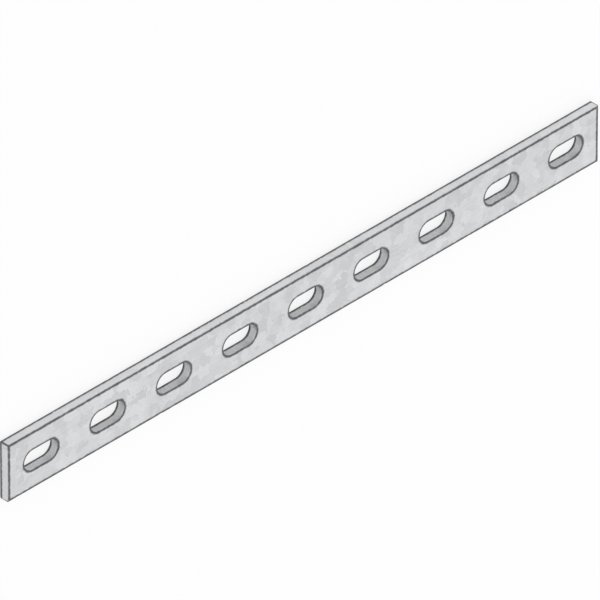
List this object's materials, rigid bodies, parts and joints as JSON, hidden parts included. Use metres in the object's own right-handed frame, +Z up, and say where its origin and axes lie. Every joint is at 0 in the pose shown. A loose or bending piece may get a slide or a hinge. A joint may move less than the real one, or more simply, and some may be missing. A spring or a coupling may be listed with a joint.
{
  "type": "cable support bar",
  "caption": "Flat zinc-coated steel bar with a row of long round-ended slots down its middle, bolted across a frame so that cables can be tied or clamped to it.",
  "frame": {"origin": "under the middle of the bar, on the flat face that it lies on", "axes": "+X along the bar, +Y across it, +Z up out of the face that the slots were punched from"},
  "size_m": [0.4572, 0.0382, 0.0063],
  "materials": {
    "zinc_coated_steel": "satin"
  },
  "bodies": {
    "root": {"slotted_bar": "zinc_coated_steel"}
  },
  "joints": []
}
